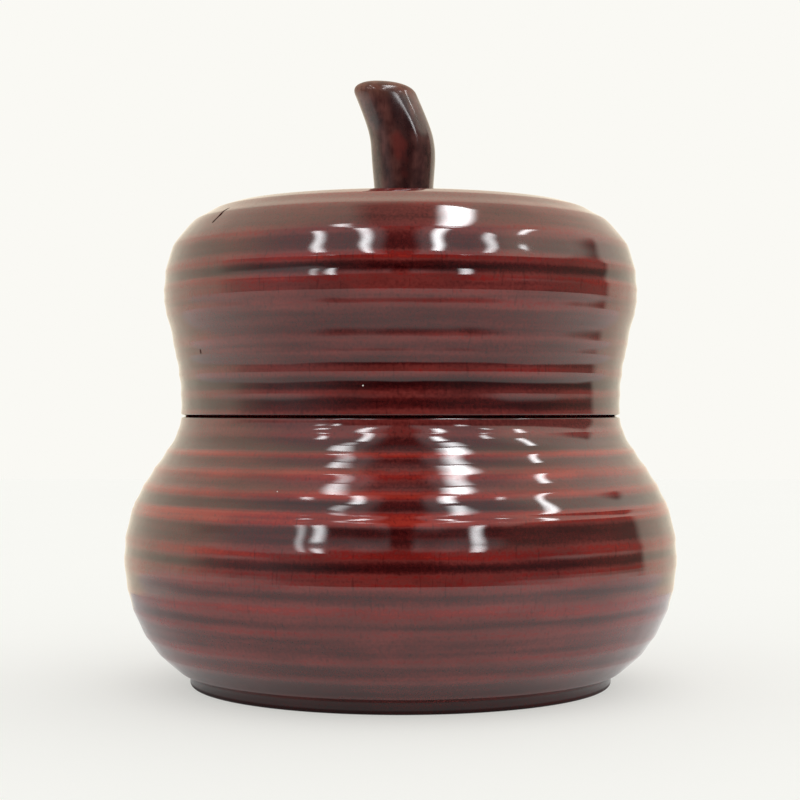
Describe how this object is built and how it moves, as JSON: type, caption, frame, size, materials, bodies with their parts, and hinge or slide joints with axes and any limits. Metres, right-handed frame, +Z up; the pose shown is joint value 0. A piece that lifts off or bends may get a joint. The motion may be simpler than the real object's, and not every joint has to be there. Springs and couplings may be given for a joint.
{
  "type": "kogo incense box",
  "caption": "Gourd-shaped turned wooden incense box with fluted red-brown lacquer, a lift-off lid on a fitting ring and a carved leaning stem as its knob.",
  "frame": {"origin": "centre of the foot's underside, on the surface that the box stands on", "axes": "+Z up along the turning axis, the pictured side faces -Y and the stem leans towards -X"},
  "size_m": [0.065, 0.065, 0.0712],
  "materials": {
    "red_brown_lacquer": "glossy translucent lacquer over turned wood, red on the crests and dark in the flutes",
    "black_lacquer": "black lacquer, satin",
    "stem_lacquer": "glossy dark brown lacquer over carved wood"
  },
  "bodies": {
    "bowl": {"bowl": "red_brown_lacquer", "fitting_ring": "black_lacquer"},
    "lid": {"lid": "red_brown_lacquer", "stem": "stem_lacquer"}
  },
  "joints": [
    {"name": "lid_lift", "type": "slide", "parent": "bowl", "child": "lid", "axis": [0, 0, 1], "range_m": [0, 0.06]}
  ]
}
